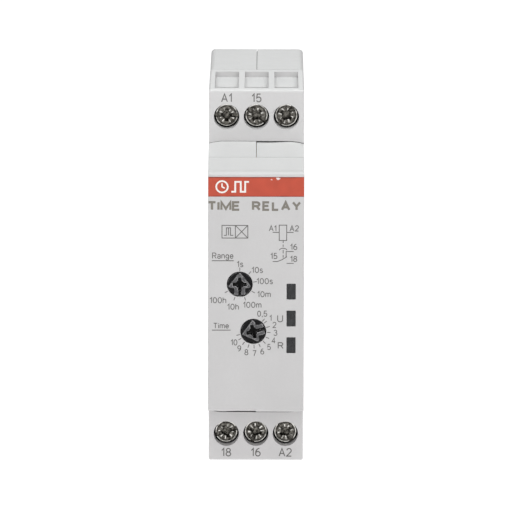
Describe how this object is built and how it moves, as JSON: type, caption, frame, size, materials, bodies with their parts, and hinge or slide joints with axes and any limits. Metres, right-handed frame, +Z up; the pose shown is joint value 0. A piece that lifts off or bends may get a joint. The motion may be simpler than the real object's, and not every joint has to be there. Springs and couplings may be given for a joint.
{
  "type": "din rail timer",
  "caption": "Narrow modular time relay for a 35 mm rail, with stepped front, recessed terminal screws, two dials, dark indicator windows and a sprung rail latch.",
  "frame": {"origin": "middle of the flat seat at the back that rests on the front of the rail", "axes": "+Z up along the height, +X to the right seen from the front, +Y from the front plate towards the rail"},
  "size_m": [0.0176, 0.058, 0.073],
  "materials": {
    "housing_plastic": "pale grey moulded polycarbonate, finely textured",
    "knob_plastic": "black moulded nylon, semi-matt",
    "smoked_window": "dark smoked polycarbonate, polished face",
    "screw_steel": "nickel-plated steel with light wear in the recess",
    "cage_steel": "zinc-plated pressed steel",
    "copper_alloy": "tinned copper alloy strip, lightly tarnished",
    "board": "green solder mask over glass-epoxy board",
    "component_black": "black moulded thermoset",
    "component_blue": "blue sleeve or case",
    "component_yellow": "yellow polyester case",
    "relay_case": "amber relay cover",
    "relay_iron": "plated soft iron",
    "coil_copper": "enamelled copper wire",
    "led_body": "white moulded lamp body",
    "latch_plastic": "dark grey glass-filled nylon",
    "spring_steel": "bright drawn spring wire"
  },
  "bodies": {
    "housing": {"housing_left": "housing_plastic", "housing_right": "housing_plastic", "front_plate": "housing_plastic", "terminal_cover_top": "housing_plastic", "terminal_cover_bottom": "housing_plastic", "rotary_switch": "component_blue", "potentiometer": "component_blue", "light_guide_blank": "smoked_window", "light_guide_supply": "smoked_window", "light_guide_relay": "smoked_window", "led_supply": "led_body", "led_relay": "led_body", "front_board": "board", "main_board": "board", "board_connector": "component_black", "capacitor_supply": "component_blue", "capacitor_filter": "component_blue", "film_capacitor": "component_yellow", "varistor": "component_blue", "control_chip": "component_black", "relay_base": "component_black", "relay_cover": "relay_case", "relay_core": "relay_iron", "relay_yoke": "relay_iron", "relay_bobbin": "component_black", "relay_winding": "coil_copper", "relay_closed_contact": "copper_alloy", "relay_open_contact": "copper_alloy", "latch_spring": "spring_steel", "contact_bar_top_left": "copper_alloy", "contact_bar_top_middle": "copper_alloy", "contact_bar_top_right": "copper_alloy", "contact_bar_bottom_left": "copper_alloy", "contact_bar_bottom_middle": "copper_alloy", "contact_bar_bottom_right": "copper_alloy"},
    "range_knob": {"range_knob": "knob_plastic"},
    "time_knob": {"time_knob": "knob_plastic"},
    "rail_latch": {"rail_latch": "latch_plastic"},
    "armature": {"relay_armature": "relay_iron", "relay_moving_contact": "copper_alloy"},
    "screw_top_left": {"terminal_screw_top_left": "screw_steel"},
    "cage_top_left": {"clamp_cage_top_left": "cage_steel"},
    "screw_top_middle": {"terminal_screw_top_middle": "screw_steel"},
    "cage_top_middle": {"clamp_cage_top_middle": "cage_steel"},
    "screw_top_right": {"terminal_screw_top_right": "screw_steel"},
    "cage_top_right": {"clamp_cage_top_right": "cage_steel"},
    "screw_bottom_left": {"terminal_screw_bottom_left": "screw_steel"},
    "cage_bottom_left": {"clamp_cage_bottom_left": "cage_steel"},
    "screw_bottom_middle": {"terminal_screw_bottom_middle": "screw_steel"},
    "cage_bottom_middle": {"clamp_cage_bottom_middle": "cage_steel"},
    "screw_bottom_right": {"terminal_screw_bottom_right": "screw_steel"},
    "cage_bottom_right": {"clamp_cage_bottom_right": "cage_steel"}
  },
  "joints": [
    {"name": "range_dial", "type": "hinge", "parent": "housing", "child": "range_knob", "pos_m": [-0.00295, -0.052, 0.00149], "axis": [0, 1, 0], "range_deg": [0, 240]},
    {"name": "time_dial", "type": "hinge", "parent": "housing", "child": "time_knob", "pos_m": [-0.00047, -0.052, -0.00731], "axis": [0, 1, 0], "range_deg": [-222, 0]},
    {"name": "latch_slide", "type": "slide", "parent": "housing", "child": "rail_latch", "axis": [0, 0, -1], "range_m": [0, 0.0035], "stiffness_N_per_m": 1500, "deforming": ["latch_spring"]},
    {"name": "armature_pivot", "type": "hinge", "parent": "housing", "child": "armature", "pos_m": [-0.0034, -0.015, 0.0044], "axis": [0, 1, 0], "range_deg": [0, 5], "stiffness_Nm_per_rad": 0.02},
    {"name": "screw_top_left_turn", "type": "hinge", "parent": "housing", "child": "screw_top_left", "pos_m": [-0.00548, -0.034, 0.0299], "axis": [0, 1, 0], "range_deg": [0, 1080]},
    {"name": "cage_top_left_lift", "type": "slide", "parent": "housing", "child": "cage_top_left", "axis": [0, -1, 0], "range_m": [0, 0.0015]},
    {"name": "screw_top_middle_turn", "type": "hinge", "parent": "housing", "child": "screw_top_middle", "pos_m": [0, -0.034, 0.0299], "axis": [0, 1, 0], "range_deg": [0, 1080]},
    {"name": "cage_top_middle_lift", "type": "slide", "parent": "housing", "child": "cage_top_middle", "axis": [0, -1, 0], "range_m": [0, 0.0015]},
    {"name": "screw_top_right_turn", "type": "hinge", "parent": "housing", "child": "screw_top_right", "pos_m": [0.00548, -0.034, 0.0299], "axis": [0, 1, 0], "range_deg": [0, 1080]},
    {"name": "cage_top_right_lift", "type": "slide", "parent": "housing", "child": "cage_top_right", "axis": [0, -1, 0], "range_m": [0, 0.0015]},
    {"name": "screw_bottom_left_turn", "type": "hinge", "parent": "housing", "child": "screw_bottom_left", "pos_m": [-0.00548, -0.034, -0.0299], "axis": [0, 1, 0], "range_deg": [0, 1080]},
    {"name": "cage_bottom_left_lift", "type": "slide", "parent": "housing", "child": "cage_bottom_left", "axis": [0, -1, 0], "range_m": [0, 0.0015]},
    {"name": "screw_bottom_middle_turn", "type": "hinge", "parent": "housing", "child": "screw_bottom_middle", "pos_m": [0, -0.034, -0.0299], "axis": [0, 1, 0], "range_deg": [0, 1080]},
    {"name": "cage_bottom_middle_lift", "type": "slide", "parent": "housing", "child": "cage_bottom_middle", "axis": [0, -1, 0], "range_m": [0, 0.0015]},
    {"name": "screw_bottom_right_turn", "type": "hinge", "parent": "housing", "child": "screw_bottom_right", "pos_m": [0.00548, -0.034, -0.0299], "axis": [0, 1, 0], "range_deg": [0, 1080]},
    {"name": "cage_bottom_right_lift", "type": "slide", "parent": "housing", "child": "cage_bottom_right", "axis": [0, -1, 0], "range_m": [0, 0.0015]}
  ],
  "couplings": [
    {"joint": "screw_top_left_turn", "follows": "cage_top_left_lift", "rad_per_m": 12566},
    {"joint": "screw_top_middle_turn", "follows": "cage_top_middle_lift", "rad_per_m": 12566},
    {"joint": "screw_top_right_turn", "follows": "cage_top_right_lift", "rad_per_m": 12566},
    {"joint": "screw_bottom_left_turn", "follows": "cage_bottom_left_lift", "rad_per_m": 12566},
    {"joint": "screw_bottom_middle_turn", "follows": "cage_bottom_middle_lift", "rad_per_m": 12566},
    {"joint": "screw_bottom_right_turn", "follows": "cage_bottom_right_lift", "rad_per_m": 12566}
  ]
}
